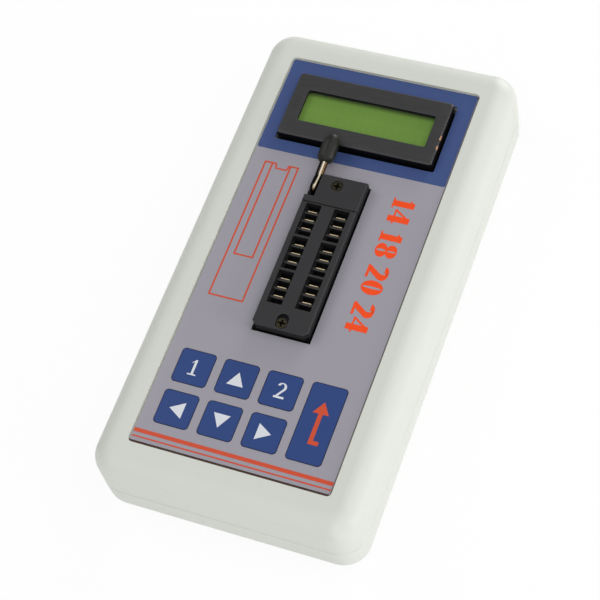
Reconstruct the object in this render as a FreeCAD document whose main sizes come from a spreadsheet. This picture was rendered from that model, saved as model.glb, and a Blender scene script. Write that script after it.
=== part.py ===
import FreeCAD, Part
import math
import os
import re
import Sketcher

# Hand-held tester for dual-in-line chips: a two-part case with a printed film front, a character display,
# a lever-operated socket and seven film keys. Millimetres, +Z up, +Y towards the display, origin under the
# middle of the case.

SIZES = {
    # Case and film front
    "film_width": 51.9,
    "film_length": 117.5,
    "film_thickness": 0.5,
    "film_corner": 0.8,
    "film_sink": 0.4,
    "film_play": 0.4,
    "side_margin": 9.05,
    "far_margin": 9.85,
    "near_margin": 9.25,
    "case_height": 24,
    "seam_height": 11.1,
    "corner_radius": 7,
    "top_round": 5.6,
    "base_round": 5,
    "wall_draft": 1.2,
    "wall": 2.2,
    "face_wall": 2.1,
    "seam_bevel": 0.3,
    "tongue": 0.9,
    "tongue_height": 1.6,
    "tongue_play": 0.15,
    # Screws and the posts that take them
    "boss_diameter": 6,
    "boss_gap": 0.6,
    "case_screw_diameter": 2.6,
    "case_screw_head": 4.6,
    "case_screw_head_height": 1.8,
    "case_screw_sink": 3.2,
    "post_diameter": 4.6,
    "post_inset": 3.6,
    "post_far_inset": 10,
    "board_screw_diameter": 2,
    "board_screw_head": 3.8,
    "board_screw_head_height": 1.4,
    "lcd_post": 0.9,
    "lcd_post_diameter": 3.4,
    "lcd_post_inset": 2.4,
    "lcd_screw_diameter": 1.6,
    "lcd_screw_head": 2.8,
    "lcd_screw_head_height": 1.1,
    "thread_grip": 3.6,
    "lcd_thread_grip": 2,
    "hole_play": 0.3,
    "thread_play": 0.04,
    "cross_share": 0.7,
    "cross_width": 0.5,
    "cross_depth": 0.6,
    # Main board and what is soldered to it
    "board_drop": 7.6,
    "board_thickness": 1.6,
    "board_play": 1.2,
    "solder_tail": 1.6,
    "parts_column": 19,
    "parts_pitch": 12,
    "chip_side": 10,
    "chip_height": 1.4,
    "driver_width": 7.5,
    "driver_length": 10.3,
    "driver_height": 2.3,
    "crystal_width": 11,
    "crystal_length": 4.6,
    "crystal_height": 3.5,
    "capacitor_diameter": 5,
    "capacitor_height": 4,
    "coil_diameter": 6,
    "coil_height": 3.4,
    "regulator_width": 6.5,
    "regulator_length": 3.5,
    "regulator_height": 1.7,
    # Keys and their switches
    "key_width": 9.1,
    "key_length": 9.3,
    "key_gap": 2.45,
    "key_corner": 1,
    "key_margin": 6.2,
    "key_shift": -0.45,
    "key_rise": 0.08,
    "key_play": 0.1,
    "key_travel": 0.3,
    "well_play": 0.3,
    "switch_side": 6,
    "switch_height": 3.4,
    "switch_plate": 0.3,
    "switch_floor": 1.2,
    "plunger_diameter": 3.5,
    "plunger_play": 0.06,
    "plunger_hole_play": 0.35,
    # Display
    "bezel_width": 42.8,
    "bezel_aside": 0.3,
    "bezel_length": 19.8,
    "bezel_height": 5.8,
    "bezel_sheet": 0.5,
    "bezel_bend": 0.9,
    "bezel_gap": 0.6,
    "window_width": 35.4,
    "window_length": 9.8,
    "window_corner": 0.6,
    "lcd_margin": 5.15,
    "lcd_board_width": 46,
    "lcd_board_length": 29,
    "lcd_board_thickness": 1.6,
    "glass_drop": 1.5,
    "glass_thickness": 2.2,
    "glass_play": 0.3,
    "strip_width": 2.4,
    "header_pins": 14,
    "header_inset": 1.8,
    "header_edge": 2.4,
    "header_width": 2.5,
    "header_pin": 0.64,
    "header_solder": 0.6,
    "pin_play": 0.12,
    # Lever socket
    "zif_width": 15,
    "zif_length": 46,
    "zif_shift": 1.05,
    "zif_stand": 3.2,
    "zif_gap": 0.35,
    "pin_pitch": 2.54,
    "row_spacing": 7.62,
    "row_pins": 12,
    "window_pins": 4,
    "contact_shift": 2.05,
    "contact_width": 2.6,
    "contact_thickness": 0.35,
    "contact_drop": 1.1,
    "contact_tail": 0.5,
    "cover_thickness": 2.3,
    "cover_inset": 0.05,
    "cover_chamfer": 1.1,
    "cover_edge": 0.3,
    "slide_gap": 0.05,
    "slot_width": 4.1,
    "slot_length": 1.9,
    "slot_start": 0.3,
    "slot_sink": 1.3,
    "head_length": 8.8,
    "head_gap": 0.15,
    "zif_screw_head": 2.8,
    "zif_screw_head_height": 0.8,
    "zif_screw_diameter": 1.4,
    "zif_screw_sink": 0.1,
    "zif_screw_depth": 4,
    "zif_screw_far": 2.85,
    "zif_screw_near": 1.95,
    "zif_screw_play": 0.15,
    "lever_diameter": 2.2,
    "lever_side": 1.45,
    "lever_play": 0.15,
    "lever_lift": 1.4,
    "lever_run": 3.9,
    "lever_reach": 9.3,
    "lever_tilt": 15,
    "pivot_drop": 2.6,
    "shaft_diameter": 1.3,
    "shaft_play": 0.05,
    "shaft_gap": 0.25,
    "crank_offset": 0.7,
    "crank_diameter": 1.4,
    "crank_web": 0.8,
    "crank_play": 0.15,
    "yoke_x": 4,
    "yoke_width": 2.8,
    "yoke_end": 0.8,
    "yoke_roof": 0.45,
    "knob_diameter": 4.5,
    "knob_length": 7.2,
    "knob_round": 1.5,
    "knob_grip": 4.4,
    "knob_play": 0.02,
    # Battery bay
    "door_thickness": 1.8,
    "door_sink": 0.2,
    "door_play": 0.2,
    "door_ledge": 1,
    "grip_width": 14,
    "grip_groove": 0.8,
    "grip_depth": 0.4,
    "bay_wall": 2,
    "bay_roof": 1.2,
    "bay_gap": 0.6,
    "cell_diameter": 10.5,
    "cell_length": 44.5,
    "cell_nub": 1,
    "cell_nub_diameter": 3.8,
    "cell_play": 0.3,
    "contact_room": 2,
    "plate_thickness": 0.4,
    "plate_height": 8,
    "dimple_diameter": 4,
    "tab_width": 2.6,
    "tab_gap": 0.5,
}

DERIVED = {
    "case_width": "film_width + 2 * side_margin",
    "case_length": "film_length + far_margin + near_margin",
    "film_y": "(near_margin - far_margin) / 2",
    "film_top": "case_height - film_sink",
    "film_under": "film_top - film_thickness",
    "ceiling": "film_under - face_wall",
    "base_floor": "door_sink + door_thickness",
    "boss_x": "case_width / 2 - corner_radius",
    "boss_y": "case_length / 2 - corner_radius",
    "boss_seat": "bay_top + boss_gap",
    "tongue_outset": "wall - tongue",
    "board_top": "film_top - board_drop",
    "board_under": "board_top - board_thickness",
    "board_near": "boss_diameter / 2 + boss_gap - boss_y",
    "board_far": "header_y + header_edge",
    "board_width": "case_width - 2 * wall - 2 * board_play",
    "board_length": "board_far - board_near",
    "board_y": "(board_far + board_near) / 2",
    "post_x": "board_width / 2 - post_inset",
    "post_near_y": "board_near + post_inset",
    "post_far_y": "board_far - post_far_inset",
    "key_pitch_x": "key_width + key_gap",
    "key_pitch_y": "key_length + key_gap",
    "key_low_y": "film_y - film_length / 2 + key_margin + key_length / 2",
    "key_high_y": "key_low_y + key_pitch_y",
    "key_tall_y": "key_low_y + key_pitch_y / 2",
    "key_tall_length": "key_length + key_pitch_y",
    "switch_top": "board_top + switch_height",
    "lcd_y": "film_y + film_length / 2 - lcd_margin - bezel_length / 2",
    "bezel_x": "-bezel_aside",
    "lcd_board_top": "ceiling - lcd_post",
    "lcd_board_under": "lcd_board_top - lcd_board_thickness",
    "lcd_screw_x": "lcd_board_width / 2 - lcd_post_inset",
    "lcd_screw_y": "lcd_board_length / 2 - lcd_post_inset",
    "bezel_top": "lcd_board_top + bezel_height",
    "glass_top": "bezel_top - glass_drop",
    "glass_under": "glass_top - glass_thickness",
    "glass_width": "bezel_width - 2 * bezel_sheet - 2 * glass_play",
    "glass_length": "bezel_length - 2 * bezel_sheet - 2 * glass_play",
    "header_y": "lcd_y - lcd_board_length / 2 + header_inset",
    "header_run": "(header_pins - 1) * pin_pitch",
    "zif_y": "film_y + zif_shift",
    "zif_top": "film_top + zif_stand",
    "cover_under": "zif_top - cover_thickness",
    "zif_base_top": "cover_under - slide_gap",
    "contacts_y": "zif_y - contact_shift",
    "contact_run": "(row_pins - 1) * pin_pitch",
    "first_contact_y": "contacts_y + contact_run / 2",
    "contact_top": "zif_top - contact_drop",
    "slot_middle": "slot_length / 2 - slot_start",
    "zif_far": "zif_y + zif_length / 2",
    "zif_near": "zif_y - zif_length / 2",
    "head_near": "zif_far - head_length",
    "cover_far": "head_near - head_gap",
    "zif_screw_seat": "zif_top - zif_screw_sink - zif_screw_head_height",
    "pivot_y": "zif_far - zif_screw_far - (zif_screw_diameter + shaft_diameter) / 2 - shaft_gap",
    "pivot_z": "zif_top - pivot_drop",
    "lever_x": "lever_side - zif_width / 2",
    "notch_width": "lever_side + lever_diameter / 2 + lever_play",
    "notch_x": "(notch_width - zif_width) / 2",
    "notch_near": "pivot_y - lever_lift - lever_diameter / 2 - lever_play",
    "crank_lean": "crank_offset * sqrt(0.5)",
    "cover_travel": "2 * crank_lean",
    "crank_sweep": "crank_offset + crank_diameter / 2 + crank_play",
    "yoke_ceiling": "pivot_z + crank_sweep",
    "yoke_top": "yoke_ceiling + yoke_roof",
    "yoke_window": "crank_diameter + 2 * crank_play",
    "yoke_far": "pivot_y + crank_lean + yoke_window / 2 + yoke_end",
    "crank_half": "yoke_width / 2 + crank_play + crank_web",
    "lever_bend_y": "pivot_y + lever_run",
    "lever_flat_z": "pivot_z + lever_lift",
    "knob_y": "lever_bend_y + (lever_reach - knob_grip) * cos(lever_tilt)",
    "knob_z": "lever_flat_z + (lever_reach - knob_grip) * sin(lever_tilt)",
    "bay_width": "cell_length + 2 * contact_room",
    "bay_length": "2 * cell_diameter + 3 * cell_play",
    "bay_y": "board_far + bay_gap + bay_wall + bay_length / 2",
    "bay_roof_under": "base_floor + 2 * cell_play + cell_diameter",
    "bay_top": "bay_roof_under + bay_roof",
    "cell_z": "base_floor + cell_play + cell_diameter / 2",
    "cell_y": "(cell_diameter + cell_play) / 2",
    "door_width": "bay_width + 2 * door_ledge",
    "door_length": "bay_length + 2 * door_ledge",
    "tab_top": "board_top + plate_thickness",
}

DOC = FreeCAD.newDocument("component_tester")
SHEET = DOC.addObject("Spreadsheet::Sheet", "dims")
for row, (alias, number) in enumerate(SIZES.items(), start=1):
    SHEET.set(f"A{row}", alias)
    SHEET.set(f"B{row}", str(number))
    SHEET.setAlias(f"B{row}", alias)
DOC.recompute()


def formula(text):
    """The sheet expression for a formula in plain words: sizes get the sheet's name, others open up."""
    def open_word(match):
        word = match.group(0)
        if word in DERIVED:
            return f"({formula(DERIVED[word])})"
        return f"dims.{word}" if word in SIZES else word
    return re.sub(r"[a-z][a-z_0-9]*", open_word, text)


def value(text):
    """The number that a formula gives with the sheet as it stands."""
    return float(SHEET.evalExpression(formula(text)))


def rectangle(x, y, width, length, corner=None):
    """A rectangle about (x, y), with round corners where a corner radius is given."""
    return {"x": x, "y": y, "width": width, "length": length, "corner": corner}


def circle(x, y, diameter):
    """A circle about (x, y)."""
    return {"x": x, "y": y, "diameter": diameter}


def four_corners(x, y, about="0"):
    """The four places at plus and minus x, and at plus and minus y about a middle."""
    return [(f"{sx} * ({x})", f"({about}) + {sy} * ({y})") for sx in (-1, 1) for sy in (-1, 1)]


def constrain(sketch, rules, dimensions):
    """Ties the sketch's lines together, and drives each of its dimensions by a formula."""
    first = sketch.ConstraintCount + len(rules)
    ties = [Sketcher.Constraint(*rule) for rule in rules]
    lengths = [Sketcher.Constraint(kind, *places, value(text)) for text, kind, *places in dimensions]
    sketch.addConstraint(ties + lengths)
    for number, (text, kind, *places) in enumerate(dimensions, start=first):
        sketch.setExpression(f"Constraints[{number}]", formula(text))


def draw_circle(sketch, shape):
    """A circle held by its centre and diameter."""
    centre = FreeCAD.Vector(value(shape["x"]), value(shape["y"]), 0)
    ring = Part.Circle(centre, FreeCAD.Vector(0, 0, 1), value(shape["diameter"]) / 2)
    index = sketch.addGeometry(ring, False)
    constrain(sketch, [], [(shape["diameter"], "Diameter", index),
                           (shape["x"], "DistanceX", -1, 1, index, 3),
                           (shape["y"], "DistanceY", -1, 1, index, 3)])


def draw_rectangle(sketch, shape):
    """Four sides, joined at the corners or by equal tangent arcs, held by one corner and two lengths."""
    corner = shape["corner"]
    radius = value(corner) if corner else 0
    half_x = value(shape["width"]) / 2
    half_y = value(shape["length"]) / 2
    middle = FreeCAD.Vector(value(shape["x"]), value(shape["y"]), 0)
    ends = [(radius - half_x, -half_y), (half_x - radius, -half_y),
            (half_x, radius - half_y), (half_x, half_y - radius),
            (half_x - radius, half_y), (radius - half_x, half_y),
            (-half_x, half_y - radius), (-half_x, radius - half_y)]
    points = [middle + FreeCAD.Vector(dx, dy, 0) for dx, dy in ends]
    first = sketch.GeometryCount
    geometry = [Part.LineSegment(points[2 * side], points[2 * side + 1]) for side in range(4)]
    rules = []
    dimensions = [(f"({shape['x']}) - ({shape['width']}) / 2", "DistanceX", -1, 1, first + 3, 1),
                  (f"({shape['y']}) - ({shape['length']}) / 2", "DistanceY", -1, 1, first, 1),
                  (shape["width"], "DistanceX", first + 3, 1, first + 1, 1),
                  (shape["length"], "DistanceY", first, 1, first + 2, 1)]
    for side, (sign_x, sign_y) in enumerate([(1, -1), (1, 1), (-1, 1), (-1, -1)]):
        line = first + side
        following = first + (side + 1) % 4
        arc = first + 4 + side
        rules.append(("Vertical" if side % 2 else "Horizontal", line))
        if not corner:
            rules.append(("Coincident", line, 2, following, 1))
            continue
        centre = middle + FreeCAD.Vector(sign_x * (half_x - radius), sign_y * (half_y - radius), 0)
        ring = Part.Circle(centre, FreeCAD.Vector(0, 0, 1), radius)
        start = math.radians(90 * (side - 1))
        geometry.append(Part.ArcOfCircle(ring, start, start + math.pi / 2))
        rules.append(("Tangent", line, 2, arc, 1))
        rules.append(("Tangent", arc, 2, following, 1))
        if side:
            rules.append(("Equal", first + 4, arc))
        else:
            dimensions.append((corner, "Radius", arc))
    sketch.addGeometry(geometry, False)
    constrain(sketch, rules, dimensions)


class Piece:
    """One sub-part: a body with short calls for the sketches and features that it is made of."""

    def __init__(self, label):
        self.body = DOC.addObject("PartDesign::Body", label)
        self.body.Label = label
        self.body.AllowCompound = True
        self.features = 0
        NODES[label] = self.body

    def add(self, kind):
        """A new feature at the end of the body."""
        self.features += 1
        return self.body.newObject(kind, f"{self.body.Name}_{self.features}")

    def sketch(self, height, plane):
        """An empty sketch parallel to an origin plane, at a height above it."""
        sketch = self.add("Sketcher::SketchObject")
        origin = next(item for item in self.body.Origin.OriginFeatures if item.Role == plane)
        sketch.AttachmentSupport = [(origin, "")]
        sketch.MapMode = "FlatFace"
        sketch.setExpression("AttachmentOffset.Base.z", formula(height))
        return sketch

    def outline(self, shapes, height, plane):
        """A sketch of circles and rectangles."""
        sketch = self.sketch(height, plane)
        for shape in shapes:
            draw = draw_circle if "diameter" in shape else draw_rectangle
            draw(sketch, shape)
        return sketch

    def pad(self, shapes, low, high, plane="XY_Plane", taper=None):
        """Material between two heights, drawn in by a taper angle towards the higher one."""
        feature = self.add("PartDesign::Pad")
        feature.Profile = self.outline(shapes, low, plane)
        feature.setExpression("Length", formula(f"({high}) - ({low})"))
        if taper:
            feature.setExpression("TaperAngle", formula(f"-({taper})"))
        DOC.recompute()
        return feature

    def cut(self, shapes, low, high, plane="XY_Plane"):
        """Material taken away between two heights."""
        feature = self.add("PartDesign::Pocket")
        feature.Profile = self.outline(shapes, high, plane)
        feature.setExpression("Length", formula(f"({high}) - ({low})"))
        DOC.recompute()
        return feature

    def repeat(self, feature, count, pitch, axis="V_Axis", backwards=True):
        """The feature again and again along an axis of its sketch, or against it."""
        pattern = self.add("PartDesign::LinearPattern")
        pattern.Originals = [feature]
        pattern.Direction = (feature.Profile[0], [axis])
        pattern.Reversed = backwards
        pattern.setExpression("Length", formula(f"({count} - 1) * ({pitch})"))
        pattern.setExpression("Occurrences", formula(count))
        self.body.Tip = pattern
        DOC.recompute()
        return pattern

    def edges(self, picked):
        """Names of the edges of the body so far whose bounding box is picked."""
        shape = self.body.Tip.Shape
        return [f"Edge{number}" for number, edge in enumerate(shape.Edges, start=1) if picked(edge.BoundBox)]

    def round(self, radius, picked):
        """Round the picked edges."""
        base = self.body.Tip
        names = self.edges(picked)
        feature = self.add("PartDesign::Fillet")
        feature.Base = (base, names)
        feature.setExpression("Radius", formula(radius))
        DOC.recompute()

    def bevel(self, size, picked):
        """Chamfer the picked edges."""
        base = self.body.Tip
        names = self.edges(picked)
        feature = self.add("PartDesign::Chamfer")
        feature.Base = (base, names)
        feature.setExpression("Size", formula(size))
        DOC.recompute()


NODES = {}


def level(height):
    """Picks the edges that lie flat at a height."""
    z = value(height)
    return lambda box: abs(box.ZMin - z) < 1e-4 and abs(box.ZMax - z) < 1e-4


def case_outline(inset):
    """The case's plan drawn in by an inset, with concentric corners."""
    drawn_in = f"2 * ({inset})"
    corner = f"corner_radius - ({inset})"
    return rectangle("0", "0", f"case_width - {drawn_in}", f"case_length - {drawn_in}", corner)


def lcd_opening():
    """The opening that the display bezel stands in."""
    return rectangle("bezel_x", "lcd_y", "bezel_width + 2 * bezel_gap", "bezel_length + 2 * bezel_gap")


def zif_opening():
    """The opening that the socket stands in."""
    return rectangle("0", "zif_y", "zif_width + 2 * zif_gap", "zif_length + 2 * zif_gap")


KEYS = {
    "one": (0, "key_high_y", "key_length"),
    "up": (1, "key_high_y", "key_length"),
    "two": (2, "key_high_y", "key_length"),
    "left": (0, "key_low_y", "key_length"),
    "down": (1, "key_low_y", "key_length"),
    "right": (2, "key_low_y", "key_length"),
    "enter": (3, "key_tall_y", "key_tall_length"),
}


def key_x(column):
    """The middle of one of the four key columns."""
    return f"key_shift + ({column} - 1.5) * key_pitch_x"


def key_outlines(play):
    """The seven keys' plan with a gap of the given size around each."""
    grow = f"2 * ({play})"
    return [rectangle(key_x(column), y, f"key_width + {grow}", f"{length} + {grow}", f"key_corner + {play}")
            for column, y, length in KEYS.values()]


def key_circles(diameter):
    """A circle at the middle of each key."""
    return [circle(key_x(column), y, diameter) for column, y, length in KEYS.values()]


def key_squares(side):
    """A square at the middle of each key."""
    return [rectangle(key_x(column), y, side, side) for column, y, length in KEYS.values()]


BOSSES = four_corners("boss_x", "boss_y")
BOARD_POSTS = [(f"{side} * post_x", y) for side in (-1, 1) for y in ("post_near_y", "post_far_y")]
LCD_POSTS = four_corners("lcd_screw_x", "lcd_screw_y", "lcd_y")


def circles(places, diameter):
    """Like circles at several places."""
    return [circle(x, y, diameter) for x, y in places]


# Upper case shell: a thin-walled moulding with a recessed face, openings, key wells and screw posts.
shell = Piece("upper_shell")
shell.pad([case_outline("0")], "seam_height", "case_height", taper="wall_draft")
shell.round("top_round", level("case_height"))
shell.bevel("seam_bevel", level("seam_height"))
shell.cut([case_outline("wall")], "seam_height", "ceiling")
shell.round("top_round - wall", level("ceiling"))
shell.cut([case_outline("tongue_outset - tongue_play")], "seam_height",
          "seam_height + tongue_height + tongue_play")
shell.cut([rectangle("0", "film_y", "film_width + 2 * film_play", "film_length + 2 * film_play",
                     "film_corner + film_play")], "film_under", "case_height")
shell.pad(circles(BOSSES, "boss_diameter"), "boss_seat", "ceiling + face_wall / 2")
shell.pad(circles(BOARD_POSTS, "post_diameter"), "board_top", "ceiling + face_wall / 2")
shell.pad(circles(LCD_POSTS, "lcd_post_diameter"), "lcd_board_top", "ceiling + face_wall / 2")
shell.cut([lcd_opening(), zif_opening()], "ceiling", "film_under")
shell.cut(key_outlines("well_play"), "film_under - key_travel - well_play", "film_under")
shell.cut(key_circles("plunger_diameter + 2 * plunger_hole_play"), "ceiling", "film_under")
shell.cut(circles(BOSSES, "case_screw_diameter + 2 * thread_play"), "boss_seat",
          "boss_seat + thread_grip + hole_play")
shell.cut(circles(BOARD_POSTS, "board_screw_diameter + 2 * thread_play"), "board_top",
          "board_top + thread_grip + hole_play")
shell.cut(circles(LCD_POSTS, "lcd_screw_diameter + 2 * thread_play"), "lcd_board_top",
          "lcd_board_top + lcd_thread_grip + hole_play")

# Lower case shell: a tray with a locating tongue, screw columns and the battery bay.
tray = Piece("lower_shell")
tray.pad([case_outline("0")], "0", "seam_height")
tray.round("base_round", level("0"))
tray.bevel("seam_bevel", level("seam_height"))
tray.cut([case_outline("wall")], "base_floor", "seam_height")
tray.round("base_round - wall", level("base_floor"))
tray.pad([case_outline("tongue_outset"), case_outline("wall")], "seam_height - tongue_height",
         "seam_height + tongue_height")
tray.pad(circles(BOSSES, "boss_diameter"), "base_floor / 2", "boss_seat")
tray.pad([rectangle("0", "bay_y", "bay_width + 2 * bay_wall", "bay_length + 2 * bay_wall")],
         "base_floor / 2", "bay_top")
tray.cut([rectangle("0", "bay_y", "bay_width", "bay_length")], "0", "bay_roof_under")
tray.cut([rectangle("0", "bay_y", "door_width + 2 * door_play", "door_length + 2 * door_play")],
         "0", "base_floor")
tray.cut(circles(BOSSES, "case_screw_head + 2 * hole_play"), "0", "case_screw_sink + case_screw_head_height")
tray.cut(circles(BOSSES, "case_screw_diameter + 2 * hole_play"), "0", "boss_seat")
tray.cut([rectangle("bay_width / 2 - plate_thickness / 2", f"bay_y + {side} * cell_y",
                    "plate_thickness + 2 * pin_play", "tab_width + 2 * pin_play") for side in (-1, 1)],
         "bay_roof_under", "bay_top")


def screws(label, places, head, head_height, shank, seat, tip):
    """Cross-slotted screws driven upwards: heads under the seat, shanks up to the tip."""
    piece = Piece(label)
    piece.pad(circles(places, head), f"({seat}) - {head_height}", seat)
    piece.pad(circles(places, shank), f"({seat}) - {head_height} / 2", tip)
    cross = f"cross_share * {head}"
    for width, length in ((cross, "cross_width"), ("cross_width", cross)):
        piece.cut([rectangle(x, y, width, length) for x, y in places], f"({seat}) - {head_height}",
                  f"({seat}) - {head_height} + cross_depth")


screws("case_screws", BOSSES, "case_screw_head", "case_screw_head_height", "case_screw_diameter",
       "case_screw_sink + case_screw_head_height", "boss_seat + thread_grip")
screws("board_screws", BOARD_POSTS, "board_screw_head", "board_screw_head_height", "board_screw_diameter",
       "board_under", "board_top + thread_grip")
screws("lcd_screws", LCD_POSTS, "lcd_screw_head", "lcd_screw_head_height", "lcd_screw_diameter",
       "lcd_board_under", "lcd_board_top + lcd_thread_grip")

# Film front: one printed sheet with openings for display, socket and keys.
film = Piece("front_film")
film.pad([rectangle("0", "film_y", "film_width", "film_length", "film_corner")], "film_under", "film_top")
film.cut([lcd_opening(), zif_opening()], "film_under", "film_top")
film.cut(key_outlines("key_play"), "film_under", "film_top")

# Film keys, each with the switch plunger under it.
for name, (column, y, length) in KEYS.items():
    key = Piece(f"key_{name}")
    key.pad([rectangle(key_x(column), y, "key_width", length, "key_corner")],
            "film_under", "film_top + key_rise")
    key.round("key_rise", level("film_top + key_rise"))
    plunger = Piece(f"plunger_{name}")
    plunger.pad([circle(key_x(column), y, "plunger_diameter")],
                "board_top + switch_floor + key_travel + hole_play", "film_under")

# Push switches: moulded housings with a blind bore for the plunger, and a thin metal plate on each.
housings = Piece("switch_housings")
housings.pad(key_squares("switch_side"), "board_top", "switch_top")
housings.cut(key_circles("plunger_diameter + 2 * plunger_play"), "board_top + switch_floor", "switch_top")
plates = Piece("switch_plates")
plates.pad(key_squares("switch_side"), "switch_top", "switch_top + switch_plate")
plates.cut(key_circles("plunger_diameter + 2 * plunger_play"), "switch_top", "switch_top + switch_plate")


def contact_rows(width, length, shift="0"):
    """One rectangle in each contact row, at the first contact, moved along Y by a shift."""
    return [rectangle(f"{side} * row_spacing / 2", f"first_contact_y + {shift}", width, length)
            for side in (-1, 1)]


def header_row(piece, shape, width, low, high):
    """A row of square pins, or of holes for them, where the pin strip joins the two boards."""
    feature = shape([rectangle("-(header_run) / 2", "header_y", width, width)], low, high)
    piece.repeat(feature, "header_pins", "pin_pitch", axis="H_Axis", backwards=False)


# Main board, drilled for its screws, the socket's tails and the display's pin strip.
board = Piece("main_board")
board.pad([rectangle("0", "board_y", "board_width", "board_length")], "board_under", "board_top")
board.cut(circles(BOARD_POSTS, "board_screw_diameter + 2 * hole_play"), "board_under", "board_top")
header_row(board, board.cut, "header_pin + 2 * pin_play", "board_under", "board_top")
tail_hole = "contact_tail + 2 * pin_play"
drilled = board.cut(contact_rows(tail_hole, tail_hole), "board_under", "board_top")
board.repeat(drilled, "row_pins", "pin_pitch")


def soldered(label, places, width, length, height):
    """Blocks on the main board beside the socket, in columns and rows of the parts' grid."""
    piece = Piece(label)
    piece.pad([rectangle(f"{column} * parts_column", f"zif_y + {row} * parts_pitch", width, length)
               for column, row in places], "board_top", f"board_top + {height}")
    return piece


# Chips, crystal and regulator stand on the main board on both sides of the socket.
soldered("microcontroller", [(1, 0)], "chip_side", "chip_side", "chip_height")
soldered("driver_chips", [(-1, 0.6), (-1, -0.6)], "driver_width", "driver_length", "driver_height")
soldered("crystal", [(1, -1)], "crystal_width", "crystal_length", "crystal_height")
soldered("regulator", [(-1, -1.6)], "regulator_width", "regulator_length", "regulator_height")
capacitors = Piece("capacitors")
capacitors.pad([circle(f"{column} * parts_column", "zif_y - 1.7 * parts_pitch", "capacitor_diameter")
                for column in (0.85, 1.2)], "board_top", "board_top + capacitor_height")
coil = Piece("boost_coil")
coil.pad([circle("parts_column", "zif_y + parts_pitch", "coil_diameter")],
         "board_top", "board_top + coil_height")

# Display board, hung from the upper shell and joined to the main board by a pin strip.
lcd_board = Piece("lcd_board")
lcd_board.pad([rectangle("0", "lcd_y", "lcd_board_width", "lcd_board_length")],
              "lcd_board_under", "lcd_board_top")
lcd_board.cut(circles(LCD_POSTS, "lcd_screw_diameter + 2 * hole_play"), "lcd_board_under", "lcd_board_top")
header_row(lcd_board, lcd_board.cut, "header_pin + 2 * pin_play", "lcd_board_under", "lcd_board_top")
strip = Piece("header_strip")
strip.pad([rectangle("0", "header_y", "header_pins * pin_pitch", "header_width")],
          "board_top", "lcd_board_under")
header_row(strip, strip.cut, "header_pin + 2 * thread_play", "board_top", "lcd_board_under")
pins = Piece("header_pins")
header_row(pins, pins.pad, "header_pin", "board_under - solder_tail", "lcd_board_top + header_solder")

# Display bezel: a folded steel box with a window a little right of its middle, standing on the display board.
bezel = Piece("lcd_bezel")
bezel.pad([rectangle("bezel_x", "lcd_y", "bezel_width", "bezel_length", "bezel_bend")],
          "lcd_board_top", "bezel_top")
bezel.round("bezel_bend * 0.8", level("bezel_top"))
bezel.cut([rectangle("bezel_x", "lcd_y", "bezel_width - 2 * bezel_sheet", "bezel_length - 2 * bezel_sheet",
                     "bezel_bend - bezel_sheet")], "lcd_board_top", "bezel_top - bezel_sheet")
bezel.cut([rectangle("0", "lcd_y", "window_width", "window_length", "window_corner")],
          "bezel_top - bezel_sheet", "bezel_top")

# Display glass on two strips of conductive rubber.
glass = Piece("lcd_glass")
glass.pad([rectangle("bezel_x", "lcd_y", "glass_width", "glass_length")], "glass_under", "glass_top")
rubber = Piece("lcd_contact_strips")
strip_y = "(glass_length - strip_width) / 2"
rubber.pad([rectangle("bezel_x", f"lcd_y + {side} * {strip_y}", "glass_width", "strip_width")
            for side in (-1, 1)], "lcd_board_top", "glass_under")

# Socket base: a tall moulding with a slot for each contact. Its raised head holds the lever's shaft, with a
# notch for the lever and a chamber for the crank.
ZIF_SCREWS = [("0", "zif_far - zif_screw_far"), ("0", "zif_near + zif_screw_near")]
zif = Piece("zif_base")
zif.pad([rectangle("0", "zif_y", "zif_width", "zif_length")], "board_top", "zif_base_top")
zif.pad([rectangle("0", "(head_near + zif_far) / 2", "zif_width", "head_length")],
        "zif_base_top", "zif_top")
zif.bevel("cover_edge", level("zif_top"))
zif.cut([rectangle("notch_x", "(notch_near + zif_far) / 2", "notch_width", "zif_far - notch_near")],
        "pivot_z - lever_diameter / 2 - lever_play", "zif_top")
zif.cut([circle("pivot_y", "pivot_z", "shaft_diameter + 2 * shaft_play")], "notch_width - zif_width / 2",
        "zif_width / 2 - lever_side / 2", plane="YZ_Plane")
zif.cut([rectangle("yoke_x", "(head_near + yoke_far + crank_play) / 2", "2 * (crank_half + crank_play)",
                   "yoke_far + crank_play - head_near")],
        "pivot_z - shaft_diameter / 2 - crank_play", "yoke_top + shaft_play")
channel = zif.cut(contact_rows("contact_width + 2 * pin_play", "contact_thickness + 2 * pin_play"),
                  "board_top", "zif_base_top")
zif.repeat(channel, "row_pins", "pin_pitch")
zif.cut(circles(ZIF_SCREWS, "zif_screw_diameter + 2 * thread_play"),
        "zif_screw_seat - zif_screw_depth - hole_play", "zif_screw_seat")
zif.cut(circles(ZIF_SCREWS[:1], "zif_screw_head + 2 * zif_screw_play"), "zif_screw_seat", "zif_top")

# Socket contacts: flat blades with a narrow tail through the main board.
contacts = Piece("zif_contacts")
blade = contacts.pad(contact_rows("contact_width", "contact_thickness"), "board_top", "contact_top")
contacts.repeat(blade, "row_pins", "pin_pitch")
tail = contacts.pad(contact_rows("contact_tail", "contact_thickness"),
                    "board_under - solder_tail", "board_top")
contacts.repeat(tail, "row_pins", "pin_pitch")

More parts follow.
